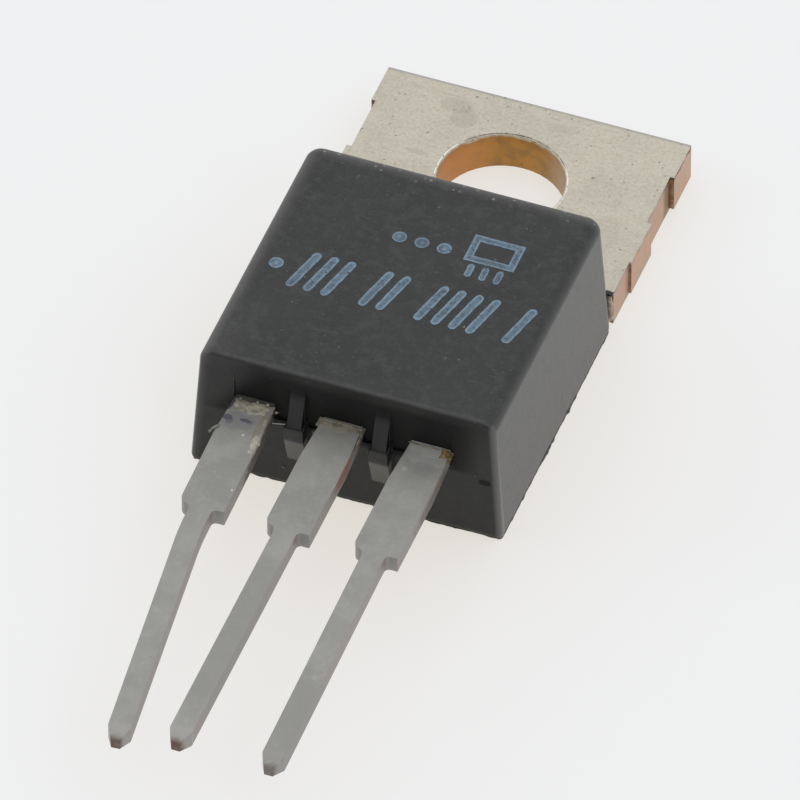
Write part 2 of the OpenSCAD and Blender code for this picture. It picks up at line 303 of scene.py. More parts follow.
def epoxy_material():
    """Charcoal moulding compound with filler grains, dust, scuffs and pale worn edges, and painted
    light, shade and edge highlights.
    """
    s = Surface("black_epoxy")
    # Clouds and grains of filler, stronger on the top.
    grain = s.noise(13, 3, 0.65)
    clouds = s.between(s.noise(0.5, 4, 0.6), 0.3, 0.7)
    colour = s.mix(clouds, (0.009, 0.010, 0.010), (0.0145, 0.016, 0.0155))
    top = s.between(s.normal[2], 0.6, 0.9)
    mottle = s.between(s.noise(3.4, 3, 0.6), 0.46, 0.68)
    colour = s.coat(colour, (0.033, 0.036, 0.036), mottle, s.blend(top, 0.4, 0.6))
    pale_grain = s.times(s.between(grain, 0.5, 0.72), s.blend(top, 0.15, 0.4))
    colour = s.coat(colour, (0.042, 0.0455, 0.0455), pale_grain)

    # Painted shade on the lead end, painted light on the long sides, painted shade above the
    # leads and on the ribs' sides, painted light on the ribs' fronts, and a painted reflection
    # on the ribs' noses.
    front = s.between(s.normal[1], -0.6, -0.9)
    # Painted shade: the faces turned to the lead end are darkened.
    colour = s.coat(colour, (0.006, 0.006, 0.0055), front, 0.55)
    flank = s.between(s.away(s.normal[0]), 0.6, 0.9)
    # Painted light: the long sides are made paler.
    colour = s.coat(colour, (0.04, 0.041, 0.04), flank, 0.67)
    # Painted shade: the recess above the leads is made almost black.
    slanted = s.plus(s.x, s.times(s.z, -0.9))
    across = s.times(s.between(slanted, -6.5, -5.6), s.between(s.x, 3.93, 3.03))
    above_leads = s.times(across, s.between(s.z, 2.15, 2.35), s.between(s.z, 4.15, 3.8))
    recess = s.times(s.between(s.y, -11.7, -11.85), s.between(s.y, -12.0, -11.96), above_leads)
    colour = s.coat(colour, (0.001, 0.001, 0.001), recess, 0.9)
    # Painted shade on the ribs' sides.
    rib_side = s.times(flank, s.between(s.y, -12.03, -12.08))
    colour = s.coat(colour, (0.002, 0.002, 0.002), rib_side, 0.9)
    for rib_x in RIB_X:
        sideways = s.away(s.x, rib_x)
        # Painted light on each rib's front above the lead level.
        wedge = s.times(front, s.between(sideways, 0.26, 0.22), s.between(s.z, 2.35, 2.5),
                        s.between(s.y, -12.0, -12.04))
        colour = s.coat(colour, (0.03, 0.031, 0.03), wedge, 0.6)
        # A painted reflection on each rib's nose below the leads.
        nose = s.times(s.between(sideways, 0.34, 0.28), s.between(s.z, 2.2, 2.05),
                       s.between(s.y, -12.02, -12.06))
        colour = s.coat(colour, (0.135, 0.133, 0.118), nose, 0.85)

    # Pale wear with painted highlights along the edges around the top, and painted light on the
    # rounded corners of the lead end.
    left = s.between(s.x, -3.75, -4.25)
    far = s.between(s.y, -3.85, -3.5)
    near = s.times(s.between(s.y, -11.68, -11.84), s.between(s.z, 4.17, 4.24), 0.45)
    corner = s.times(s.between(s.x, -2.6, -4.2), s.between(s.y, -8.5, -11.0), 0.35)
    lead_end = s.times(s.between(s.y, -11.7, -11.8), s.between(s.z, 4.26, 4.1))
    leaning = s.times(s.z, math.tan(SIDE_DRAFT))
    from_right = s.plus(s.x, leaning)
    right_corner = s.between(from_right, BODY_HIGH.x - 0.20, BODY_HIGH.x - 0.05)
    from_left = s.math("SUBTRACT", s.x, leaning)
    left_corner = s.between(from_left, BODY_LOW.x + 0.34, BODY_LOW.x + 0.08)
    # Painted light on the lead end's rounded right and left corners.
    colour = s.coat(colour, (0.135, 0.135, 0.13), lead_end, right_corner, 0.7)
    colour = s.coat(colour, (0.07, 0.07, 0.068), lead_end, left_corner, 0.6)
    # The pale edges around the top are partly wear and partly painted highlights on the rounded
    # edges.
    high = s.between(s.z, 3.7, 4.05)
    worn = s.times(s.most(left, far, near, corner), high,
                   s.blend(s.noise(3.5, 4, 0.7), 0.2, 1.2))
    colour = s.coat(colour, (0.115, 0.115, 0.112), worn, 0.62)

    # Scratches, dust, dark pores, pale specks along the far edge, and a pit in the lead end with
    # painted shade in its hollow.
    hairs = s.noise(1, 3, 0.6, s.place(stretch=(1.1, 11, 11), shift=(3, 1, 0), turn=22))
    rubbed = s.times(s.between(hairs, 0.62, 0.75), s.between(s.noise(0.55, 2), 0.5, 0.62), top)
    colour = s.coat(colour, (0.09, 0.092, 0.09), rubbed, 0.4)
    dusty = s.blend(top, 0.25, 1.0)
    colour = s.coat(colour, (0.07, 0.072, 0.068), s.specks(6, 0.09, 0.22), dusty, 0.5)
    colour = s.coat(colour, (0.11, 0.112, 0.105), s.specks(2.8, 0.11, 0.16, 7.3), dusty, 0.7)
    colour = s.coat(colour, (0.006, 0.006, 0.006), s.specks(1.6, 0.09, 0.10, 2.9), 0.6)
    far_rim = s.times(s.between(s.y, -3.85, -3.7), s.between(s.z, 3.95, 4.1))
    colour = s.coat(colour, (0.25, 0.25, 0.24), s.specks(5.5, 0.12, 0.55, 11.3), far_rim, 0.75)
    # Painted shade fills the pit's hollow.
    pit = s.times(front, s.spot((3.95, 0, 2.09), (0.2, None, 0.12)))
    colour = s.mix(pit, colour, (0.002, 0.002, 0.002))

    rough = s.plus(s.blend(s.noise(3, 3), 0.21, 0.32), s.times(front, 0.25),
                   s.times(s.most(worn, recess, pit), 0.3))
    s.set(Base_Color=colour, Roughness=rough)
    s.shader.inputs["IOR"].default_value = EPOXY_IOR
    relief = s.plus(s.times(grain, s.blend(top, 0.35, 0.6)), s.times(s.noise(40, 2), 0.25),
                    s.times(rubbed, -0.3), s.times(pit, -2.0))
    calm = s.times(s.blend(flank, 1.0, 0.45), s.blend(rib_side, 1.0, 0.2))
    s.bump(s.times(relief, calm), EPOXY_RELIEF)
    return s.material


def tin_surface(s, tip_y):
    """Colour, roughness and relief of a matte tinned lead whose tip ends at tip_y."""
    mottle = s.noise(1.2, 3, 0.55, warp=0.3)
    fine = s.noise(8, 3, 0.6)
    colour = s.mix(s.between(mottle, 0.35, 0.68), (0.262, 0.26, 0.246), (0.308, 0.306, 0.29))
    colour = s.coat(colour, (0.37, 0.37, 0.355), s.between(fine, 0.48, 0.78), 0.3)
    # Painted light where the lead narrows, further from the body's shade.
    narrow = s.between(s.y, *SHOULDER_Y)
    colour = s.coat(colour, (0.44, 0.438, 0.42), narrow, 0.2)
    drags = s.noise(1, 2, 0.5, s.place(stretch=(4.5, 2.5, 4.5), turn=-38))
    streaked = s.times(s.between(drags, 0.55, 0.75), s.blend(narrow, 0.1, 0.2))
    colour = s.mix(streaked, colour, (0.50, 0.50, 0.48))
    colour = s.coat(colour, (0.17, 0.165, 0.15), s.specks(3, 0.07, 0.10, 1.7), 0.6)
    # Painted shade on the lead towards the body.
    root = s.between(s.y, *ROOT_Y)
    colour = s.coat(colour, (0.16, 0.158, 0.15), root, 0.35)
    side = s.between(s.away(s.normal[0]), 0.5, 0.9)
    colour = s.coat(colour, (0.29, 0.255, 0.24), side, 0.8)
    end = s.plus(s.y, s.times(s.noise(5), 0.2))
    pale_end = s.times(s.between(end, tip_y + 0.8, tip_y + 0.5), 0.4)
    colour = s.mix(pale_end, colour, (0.42, 0.41, 0.385))
    colour = s.mix(s.between(end, tip_y + 0.32, tip_y + 0.08), colour, (0.12, 0.065, 0.045))
    rough = s.blend(mottle, 0.42, 0.52)
    relief = s.plus(s.times(fine, 0.6), s.times(s.noise(30, 2), 0.4), s.times(drags, 0.3))
    return colour, rough, relief


def lead_material(name, node, stains_and_shade):
    """A tinned lead. Each stain and painted shade is a colour, a centre, a reach and a strength.
    """
    s = Surface(name)
    colour, rough, relief = tin_surface(s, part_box(node)[0].y / MM)
    for stain, centre, reach, strength in stains_and_shade:
        colour = s.coat(colour, stain, s.spot(centre, reach, 0.9), strength)
    s.set(Base_Color=colour, Roughness=rough)
    s.shader.inputs["Metallic"].default_value = SOILED_METALLIC
    s.bump(relief, METAL_RELIEF)
    return s.material


def tab_material():
    """Dull plating over punched copper, with the tinned centre lead on the same piece."""
    s = Surface("plated_copper")
    # The plating: clouds, grain and rolling lines, then stains, scratches and specks.
    clouds = s.noise(0.7, 4, 0.6, warp=0.5)
    grain = s.noise(11, 4, 0.7)
    rolled = s.noise(1, 3, 0.6, s.place(stretch=(1.2, 8, 8)))
    colour = s.mix(s.between(clouds, 0.35, 0.7), PLATING, (0.53, 0.495, 0.415))
    colour = s.coat(colour, (0.65, 0.62, 0.54), s.between(grain, 0.45, 0.75), 0.65)
    colour = s.coat(colour, (0.42, 0.39, 0.32), s.between(grain, 0.5, 0.3), 0.65)
    colour = s.coat(colour, (0.45, 0.42, 0.34), s.between(rolled, 0.5, 0.8), 0.3)
    for centre, reach, strength in (
        ((-2.15, 2.35, 0), (0.55, 0.34, None), 0.38),
        ((-1.80, 1.95, 0), (0.42, 0.46, None), 0.38),
        ((-2.55, 0.25, 0), (0.34, 0.12, None), 0.4),
        ((0.9, 2.5, 0), (0.6, 0.2, None), 0.2),
        ((3.4, -1.0, 0), (0.5, 0.9, None), 0.2),
    ):
        stain = s.times(s.spot(centre, reach, 0.6), strength)
        colour = s.mix(stain, colour, (0.40, 0.365, 0.30))
    hairs = s.noise(1, 2, 0.5, s.place(stretch=(0.9, 14, 14), shift=(1, 5, 0), turn=-44))
    colour = s.coat(colour, (0.30, 0.27, 0.21), s.between(hairs, 0.68, 0.76), 0.5)
    near_edge = s.most(s.between(s.x, 4.2, 4.7), s.between(s.y, 2.7, 3.05),
                       s.between(s.x, -4.2, -4.7))
    ragged = s.between(s.noise(9, 3, 0.7), 0.42, 0.55)
    dark = s.most(
        s.specks(6, 0.07, 0.25),
        s.times(s.specks(2.4, 0.15, 0.3, 3.1), ragged),
        s.times(s.specks(5, 0.10, 0.6, 5.7), ragged, near_edge),
    )
    colour = s.coat(colour, (0.17, 0.13, 0.095), dark, 0.65)
    colour = s.coat(colour, (0.9, 0.9, 0.86), s.specks(2, 0.06, 0.12, 9.2), 0.8)
    far_edge = s.between(s.plus(s.y, s.times(grain, 0.06)), 3.03, 3.12)
    colour = s.coat(colour, (0.33, 0.33, 0.34), far_edge, 0.6)

    # Plating worn thin along the right edge.
    bared = s.times(s.between(s.plus(s.x, s.times(s.noise(1.1, 3, 0.6), 0.9)), 4.95, 5.15),
                    s.between(s.y, 1.6, 0.9))
    colour = s.coat(colour, (0.50, 0.43, 0.33), bared, 0.6)

    # Bare punched copper on the sides, with painted shade in its notch and step, its end faces,
    # the neck with painted light, and the hole.
    roll_over = s.plus(s.z, s.times(s.noise(2.6, 3), 0.34))
    side = s.times(s.between(s.away(s.normal[2]), 0.8, 0.4),
                   s.between(roll_over, TAB_TOP + 0.14, TAB_TOP + 0.06))
    shear = s.noise(1, 3, 0.6, s.place(stretch=(6, 6, 0.9)))
    copper = s.mix(s.between(shear, 0.3, 0.8), COPPER, (0.54, 0.35, 0.26))
    beige = s.between(s.noise(0.9, 3, 0.6, s.place(shift=(4, 2, 8))), 0.5, 0.62)
    copper = s.coat(copper, (0.47, 0.40, 0.30), beige, 0.7)
    copper = s.coat(copper, (0.24, 0.15, 0.10), s.specks(3, 0.10, 0.3, 4.4), 0.5)
    sideways = s.away(s.x)
    # Painted shade in the side notch and the side step.
    far_notch = s.times(s.between(s.y, 1.12, 1.36), s.between(sideways, 4.40, 4.37))
    copper = s.coat(copper, (0.30, 0.19, 0.115), far_notch, 0.85)
    near_step = s.times(s.between(s.y, -2.15, -1.98), s.between(s.y, -1.70, -1.77))
    copper = s.coat(copper, (0.34, 0.24, 0.16), near_step, 0.6)
    forward = s.between(s.normal[1], -0.4, -0.8)
    golden = s.mix(s.between(s.noise(4, 2), 0.4, 0.6), (0.33, 0.21, 0.125), (0.20, 0.12, 0.07))
    copper = s.coat(copper, golden, forward, 0.85)
    # Painted light on the fresh copper of the neck, which the body shades.
    neck = s.times(forward, s.between(s.y, -2.8, -2.95), s.between(sideways, 4.34, 4.26))
    copper = s.mix(neck, copper, (0.90, 0.74, 0.62))
    radius = s.math("SQRT", s.plus(s.times(s.x, s.x), s.times(s.y, s.y)))
    in_hole = s.between(radius, HOLE_RADIUS + 0.15, HOLE_RADIUS + 0.06)
    bronze = s.mix(s.between(s.noise(2.2, 3), 0.4, 0.65), (0.46, 0.24, 0.065), (0.34, 0.19, 0.07))
    bronze = s.coat(bronze, (0.60, 0.27, 0.10), s.between(s.x, -0.6, -1.5), 0.7)
    bronze = s.coat(bronze, (0.44, 0.315, 0.20), s.between(s.x, 0.5, 1.4), 0.85)
    bronze = s.coat(bronze, (0.12, 0.07, 0.04), s.specks(4, 0.09, 0.3, 6.6), 0.7)
    copper = s.mix(in_hole, copper, bronze)
    colour = s.mix(side, colour, copper)
    # The dark broken line between plating and copper.
    lip = s.times(s.between(roll_over, TAB_TOP + 0.01, TAB_TOP + 0.07),
                  s.between(roll_over, TAB_TOP + 0.20, TAB_TOP + 0.14),
                  s.between(s.away(s.normal[2]), 0.95, 0.85),
                  s.between(sideways, 4.05, 4.15),
                  s.blend(s.between(s.y, 1.0, 1.7), 0.35, 1.0),
                  s.blend(s.between(s.noise(3.1, 3, 0.7), 0.4, 0.55), 0.3, 1.0))
    colour = s.coat(colour, (0.13, 0.075, 0.045), lip, 0.9)

    # The centre lead. The epoxy hides where it takes over from the plating.
    tin, tin_rough, tin_relief = tin_surface(s, TAB_LOW.y)
    for stain, centre, reach, strength in CENTRE_STAINS:
        tin = s.coat(tin, stain, s.spot(centre, reach), strength)
    lead = s.between(s.y, *JOIN_Y)
    s.set(
        Base_Color=s.mix(lead, colour, tin),
        Roughness=s.blend(lead, s.blend(clouds, 0.38, 0.5), tin_rough),
        Metallic=s.blend(s.most(lead, neck), 1.0, SOILED_METALLIC),
    )
    relief = s.plus(s.times(grain, 0.6), s.times(rolled, 0.4), s.times(dark, -0.8))
    s.bump(s.blend(lead, relief, tin_relief), METAL_RELIEF)
    return s.material


# The soiled places of the leads, and painted shade on the base and emitter leads' right flanks:
# a colour, a centre, a reach and a strength. The centre's last number has no effect where the
# reach is None, so the stain goes through the lead.
BASE_STAINS_AND_SHADE = (
    # Painted shade on the base lead's right flank.
    ((0.085, 0.077, 0.067), (-2.08, -13.3, 2.56), (0.3, 1.6, 0.3), 0.85),
    ((0.19, 0.19, 0.208), (-2.9, -12.85, 0), (0.6, 0.34, None), 0.6),
    (BLUE_SMUDGE, (-3.20, -12.78, 0), (0.17, 0.12, None), 0.75),
    (FAINT_SMUDGE, (-3.10, -12.90, 0), (0.12, 0.13, None), 0.5),
    (BLUE_SMUDGE, (-2.68, -12.75, 0), (0.15, 0.08, None), 0.75),
    (FAINT_SMUDGE, (-2.56, -12.77, 0), (0.11, 0.08, None), 0.5),
    ((0.24, 0.21, 0.165), (-2.22, -12.85, 2.88), (0.12, 0.65, 0.2), 0.75),
    # Near black at the base lead's root corners next to the body.
    (ROOT_CORNER_DARK, (-3.32, -12.2, 0), (0.13, 0.4, None), 0.85),
    (ROOT_CORNER_DARK, (-2.7, -11.9, 0), (1.0, 0.19, None), 0.85),
    ((0.60, 0.61, 0.57), (-2.54, -13.29, 0), (0.045, 0.045, None), 0.8),
    ((0.60, 0.60, 0.57), (-2.08, -15.35, 0), (0.04, 0.04, None), 0.8),
    ((0.14, 0.06, 0.04), (-1.99, -16.41, 0), (0.08, 0.10, None), 0.9),
)
CENTRE_STAINS = (
    ((0.30, 0.27, 0.20), (-0.35, -12.2, 0), (0.5, 0.14, None), 0.5),
    ((0.30, 0.12, 0.075), (0.5, -13.5, 2.7), (0.12, 0.8, 0.3), 0.6),
    (DULL_TIN, (-0.25, -20.4, 0), (0.9, 3.4, None), 0.55),
)
EMITTER_STAINS_AND_SHADE = (
    ((0.38, 0.38, 0.365), (2.4, -12.2, 0), (0.95, 0.55, None), 0.4),
    ((0.40, 0.40, 0.385), (2.4, -12.05, 0), (0.8, 0.32, None), 0.5),
    # Painted shade on the emitter lead's right flank.
    ((0.10, 0.094, 0.088), (3.15, -13.3, 2.54), (0.34, 1.9, 0.34), 0.62),
    ((0.42, 0.42, 0.40), (2.0, -12.98, 0), (0.12, 0.10, None), 0.4),
    ((0.21, 0.21, 0.205), (2.5, -12.8, 0), (0.35, 0.3, None), 0.5),
    ((0.38, 0.24, 0.06), (3.03, -12.96, 0), (0.05, 0.07, None), 0.8),
    (DULL_TIN, (2.4, -22.8, 0), (0.9, 2.2, None), 0.55),
)


def speckled_material(name, light, dark, roughness, grain=12, metallic=0.0):
    """An uneven deposit or coat in two mingled colours."""
    s = Surface(name)
    fine = s.noise(grain, 4, 0.65)
    coarse = s.noise(grain * 0.3, 2)
    blotches = s.plus(s.times(fine, 0.6), s.times(coarse, 0.4))
    colour = s.mix(s.between(blotches, 0.4, 0.6), dark, light)
    s.set(Base_Color=colour, Roughness=s.blend(fine, roughness + 0.12, roughness - 0.12))
    s.shader.inputs["Metallic"].default_value = metallic
    s.bump(fine, DEPOSIT_RELIEF)
    return s.material


def rim_material():
    """The hole's burnished rim, with painted highlights at its left and right and dull between."""
    s = Surface("bright_rim")
    fine = s.noise(7, 4, 0.65)
    # Painted highlights on the rim's left and right arcs.
    painted_rim_highlight = s.times(s.between(s.away(s.x), 1.35, 1.65), s.between(fine, 0.3, 0.5))
    dull = s.mix(s.between(fine, 0.45, 0.6), (0.17, 0.13, 0.10), (0.44, 0.40, 0.34))
    s.set(Base_Color=s.mix(painted_rim_highlight, dull, (0.9, 0.89, 0.85)), Roughness=s.blend(fine, 0.42, 0.2))
    s.shader.inputs["Metallic"].default_value = 0.9
    s.bump(fine, DEPOSIT_RELIEF)
    return s.material


def ink_material(name, ink, wear):
    """Thin stamping ink, which lets the epoxy's colour through where it is worn."""
    s = Surface(name)
    worn = s.most(
        s.times(s.between(s.noise(9, 4, 0.7), 0.46, 0.66), wear),
        s.times(s.between(s.noise(1.1, 2), 0.5, 0.75), wear * 0.6),
        s.between(s.specks(7, 0.09, 0.2), 0.2, 0.8),
    )
    s.set(Base_Color=s.mix(worn, ink, EPOXY), Roughness=s.blend(s.noise(20, 2), 0.4, 0.55))
    s.bump(s.noise(30, 3), INK_RELIEF)
    return s.material


def floor_material():
    """White film that glows evenly, as over a warm light table, so the shadows are faint."""
    material = bpy.data.materials.new("floor_white")
    material.use_nodes = True
    shader = material.node_tree.nodes["Principled BSDF"]
    shader.inputs["Base Color"].default_value = (0.2, 0.27, 0.37, 1)
    shader.inputs["Roughness"].default_value = 1
    shader.inputs["Specular IOR Level"].default_value = 0
    shader.inputs["Emission Color"].default_value = (1, 0.914, 0.789, 1)
    shader.inputs["Emission Strength"].default_value = PAPER_WHITE * FLOOR_GLOW
    return material


# ---------------------------------------------------------------- pieces

# CAD edges are rounded with modifiers: points closer than this are welded, faces nearly in one
# plane are joined, and edges sharper than this are bevelled.
WELD_DISTANCE = 1e-4
FLAT_ANGLE = math.radians(0.3)
SHARP_ANGLE = math.radians(25)
# How wide the bevels are on the body, the tab and the leads.
BODY_EDGE = 0.03
TAB_EDGE = 0.06
LEAD_EDGE = 0.045
STRAND_SIDES = 7
# How far a crust's hidden skirt hangs down inside what it covers.
CRUST_SKIRT = 0.04
CORNER_STEPS = 6
FLASH_STEP = 0.06
BURR_POINTS = 90


def soften(piece, width, segments):
    """Rounds the sharp edges of a CAD piece with modifiers, and leaves its mesh alone."""
    weld = piece.modifiers.new("weld", "WELD")
    weld.merge_threshold = WELD_DISTANCE * MM
    flat = piece.modifiers.new("flat", "DECIMATE")
    flat.decimate_type = "DISSOLVE"
    flat.angle_limit = FLAT_ANGLE
    bevel = piece.modifiers.new("bevel", "BEVEL")
    bevel.width = width * MM
    bevel.segments = segments
    bevel.limit_method = "ANGLE"
    bevel.angle_limit = SHARP_ANGLE
    bevel.miter_outer = "MITER_ARC"
    normals = piece.modifiers.new("normals", "WEIGHTED_NORMAL")
    normals.keep_sharp = True


def finish_node(name, material, edge=None, segments=2):
    """Gives a CAD node its material, and rounds its edges if it is on show."""
    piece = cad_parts[name]
    piece.data.materials.clear()
    piece.data.materials.append(material)
    if edge:
        soften(piece, edge, segments)
        for polygon in piece.data.polygons:
            polygon.use_smooth = True


def new_piece(name, materials, draw):
    """Makes a piece that rides on the part. draw(bm) fills its mesh, in millimetres."""
    bm = bmesh.new()
    draw(bm)
    bmesh.ops.scale(bm, vec=(MM, MM, MM), verts=bm.verts)
    bmesh.ops.recalc_face_normals(bm, faces=bm.faces)
    mesh = bpy.data.meshes.new(name)
    bm.to_mesh(mesh)
    bm.free()
    for material in materials:
        mesh.materials.append(material)
    for polygon in mesh.polygons:
        polygon.use_smooth = True
    piece = bpy.data.objects.new(name, mesh)
    bpy.context.scene.collection.objects.link(piece)
    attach(piece, "root")


def ripple(x, y, z, scale):
    """A smooth pattern between about -1 and 1, the same on each run."""
    return noise.noise(Vector((x, y, z)) * scale)


def skin(bm, rings, closed):
    """Joins rings of points into a tube. It is a loop if closed, and has end caps if not."""
    loops = [[bm.verts.new(point) for point in ring] for ring in rings]
    count = len(loops[0])
    pairs = list(zip(loops, loops[1:]))
    if closed:
        pairs.append((loops[-1], loops[0]))
    else:
        bm.faces.new(loops[0])
        bm.faces.new(loops[-1])
    for one, two in pairs:
        for i in range(count):
            bm.faces.new((one[i], one[(i + 1) % count], two[(i + 1) % count], two[i]))


def strand(bm, path, radius, lumps=0.5, closed=False, steps=7, flat=1.0):
    """A lumpy thread along a path, which thins out towards its ends."""
    path = [Vector(point) for point in path]
    corners = path + [path[0]] if closed else path
    points = []
    for start, end in zip(corners, corners[1:]):
        points += [start.lerp(end, i / steps) for i in range(steps)]
    if not closed:
        points.append(path[-1])
    rings = []
    for i, point in enumerate(points):
        after = points[(i + 1) % len(points)] if closed or i + 1 < len(points) else point
        before = points[i - 1] if closed or i else point
        along = (after - before).normalized()
        side = along.cross(Vector((0, 0, 1)))
        side = side.normalized() if side.length > 0.1 else Vector((1, 0, 0))
        up = side.cross(along)
        from_middle = 0 if closed else abs(2 * i / (len(points) - 1) - 1)
        thick = radius * (1 - 0.85 * from_middle ** 6)
        ring = []
        for j in range(STRAND_SIDES):
            turn = j * math.tau / STRAND_SIDES
            way = side * math.cos(turn) + up * math.sin(turn) * flat
            lump = 1 + lumps * ripple(*(point + way * 0.05), 9) + lumps * ripple(*point, 3)
            ring.append(point + way * thick * max(lump, 0.25))
        rings.append(ring)
    skin(bm, rings, closed)


def crust(bm, low, high, level, height, fill=0.0, pitch=0.03):
    """A rough patch of a deposit. It breaks up near its borders, and dips under level(x, y)."""
    columns = max(round((high[0] - low[0]) / pitch), 4)
    rows = max(round((high[1] - low[1]) / pitch), 4)
    grid = []
    for i in range(columns + 1):
        line = []
        for j in range(rows + 1):
            x = low[0] + (high[0] - low[0]) * i / columns
            y = low[1] + (high[1] - low[1]) * j / rows
            border = min(x - low[0], high[0] - x, y - low[1], high[1] - y)
            here = border * 9 - 0.7 + fill + 1.1 * ripple(x, y, height, 3.5)
            here = max(min(here, 1), -1)
            rise = here * (0.75 + 0.5 * ripple(x, y, 5, 11)) if here > 0 else here
            line.append(bm.verts.new((x, y, level(x, y) + height * rise)))
        grid.append(line)
    for i in range(columns):
        for j in range(rows):
            bm.faces.new((grid[i][j], grid[i + 1][j], grid[i + 1][j + 1], grid[i][j + 1]))
    edge = [line[0] for line in grid] + grid[-1][1:] + [line[-1] for line in grid[-2::-1]]
    edge += grid[0][-2:0:-1]
    under = [bm.verts.new(vert.co - Vector((0, 0, CRUST_SKIRT))) for vert in edge]
    for i in range(len(edge)):
        after = (i + 1) % len(edge)
        bm.faces.new((edge[i], edge[after], under[after], under[i]))
    bm.faces.new(under)


def crumb(bm, centre, size):
    """An angular crumb, a little wider than it is high."""
    made = bmesh.ops.create_icosphere(bm, subdivisions=1, radius=1)["verts"]
    centre = Vector(centre)
    for vert in made:
        bulge = 1 + 0.45 * ripple(*(vert.co + centre), 2.3)
        vert.co = centre + Vector((vert.co.x, vert.co.y, vert.co.z * 0.6)) * size * bulge


def rounded_box(low, high, near, far):
    """Points and outward directions along a rectangle with rounded corners.

    Its corners are rounded to near at low y, and to far at high y.
    """
    points = []
    for corner, (x, y, bend) in enumerate((
        (high[0] - near, low[1] + near, near), (high[0] - far, high[1] - far, far),
        (low[0] + far, high[1] - far, far), (low[0] + near, low[1] + near, near),
    )):
        for i in range(CORNER_STEPS + 1):
            angle = math.radians(-90 + 90 * corner + 90 * i / CORNER_STEPS)
            way = Vector((math.cos(angle), math.sin(angle), 0))
            points.append((Vector((x, y, 0)) + way * bend, way))
    return points


def draw_base_flash(bm):
    """The ragged fin that the mould leaves around the body's base."""
    outline = rounded_box((BODY_LOW.x, END_Y), (BODY_HIGH.x, BODY_HIGH.y), *CORNER_RADII)
    rings = []
    for (start, way), (end, next_way) in zip(outline, outline[1:] + outline[:1]):
        count = max(round((end - start).length / FLASH_STEP), 1)
        for i in range(count):
            point = start.lerp(end, i / count)
            out = way.lerp(next_way, i / count).normalized()
            jag = ripple(point.x, point.y, 0, 1.7) + 0.6 * ripple(point.x, point.y, 4, 5)
            # On the right the fin is less ragged and stands further out, as in the photo.
            right = max(out.x, 0)
            reach = (0.09 - 0.045 * right) * max(jag, 0) ** 1.2 - 0.06 + 0.05 * right
            drop = 0.05 + 0.04 * ripple(point.x, point.y, 9, 4)
            rings.append([
                point - out * 0.2 + Vector((0, 0, 0.012)),
                point + out * reach + Vector((0, 0, drop)),
                point + out * reach * 0.8 + Vector((0, 0, drop + 0.03)),
                point - out * 0.05 + Vector((0, 0, 0.2)),
            ])
    skin(bm, rings, True)


def draw_mould_crumbs(bm):
    """Loose crumbs and threads of moulding compound and dust about the lead end."""
    for centre, size in (
        ((3.67, -11.98, 2.26), 0.022), ((-1.86, -12.02, 0.70), 0.03),
        ((3.61, -11.86, 4.20), 0.045), ((1.75, -11.75, 4.22), 0.03),
        ((-2.6, -11.77, 4.21), 0.025), ((2.1, -8.6, 4.26), 0.04),
    ):
        crumb(bm, centre, size)
    strand(bm, [(-3.46, -13.52, 2.9), (-3.38, -13.34, 2.93), (-3.27, -13.12, 2.9)], 0.035)


def draw_pale_burr(bm):
    """The pale burr on the base lead's right edge, and a thread from it to the rib."""
    burr = [(-2.17, -13.1, 2.85), (-2.14, -13.5, 2.86), (-2.13, -13.95, 2.85)]
    strand(bm, burr, 0.12, flat=0.6)
    crumb(bm, (-2.15, -13.36, 2.87), 0.12)
    crumb(bm, (-2.13, -13.64, 2.86), 0.11)
    strand(bm, [(-2.21, -12.1, 2.35), (-1.9, -12.1, 2.43), (-1.61, -12.1, 2.51)], 0.016)


def draw_neck_flake(bm):
    """A dark flake of moulding compound over the tab's right shoulder, next to the body."""
    crust(bm, (4.15, -3.16), (4.41, -2.96), lambda x, y: TAB_TOP - 0.004, 0.02, 0.5, 0.02)


def draw_neck_smear(bm):
    """Copper that the shear smeared along the tab's right neck towards the body."""
    path = [(4.305, -3.05, 0.06), (4.31, -3.055, 0.4), (4.30, -3.05, 0.8), (4.29, -3.045, 1.08)]
    strand(bm, path, 0.1, lumps=0.35, flat=0.75)


def draw_hole_burr(bm):
    """The thin raised rim that the punch leaves around the mounting hole."""
    ring = []
    for i in range(BURR_POINTS):
        turn = math.radians(360 / BURR_POINTS * i)
        radius = HOLE_RADIUS + 0.045 + 0.01 * ripple(math.cos(turn), math.sin(turn), 0, 5)
        ring.append((radius * math.cos(turn), radius * math.sin(turn), TAB_TOP - 0.008))
    strand(bm, ring, 0.022, lumps=0.35, closed=True, steps=2)


def base_level(x, y):
    """Height of the base lead's top face, which falls slowly from the body."""
    return LEAD_TOP + BASE_LEAD_FALL * (y - EXIT_Y)


def draw_base_flux(bm):
    """The flux and flash that crust the base lead's root and run down its right edge."""
    crust(bm, (-3.22, -12.56), (-2.1, -11.97), base_level, 0.03, fill=0.25)
    edge = [(-2.20, -12.02, 2.84), (-2.16, -12.45, 2.86), (-2.14, -12.9, 2.86),
            (-2.10, -13.4, 2.84), (-2.08, -13.75, 2.83), (-2.05, -14.1, 2.82)]
    strand(bm, edge, 0.07, flat=0.6)
    for centre, size in (((-3.08, -12.03, 2.93), 0.05), ((-2.30, -12.02, 2.94), 0.06),
                         ((-2.02, -12.10, 2.82), 0.06), ((-2.6, -12.0, 2.93), 0.04)):
        crumb(bm, centre, size)


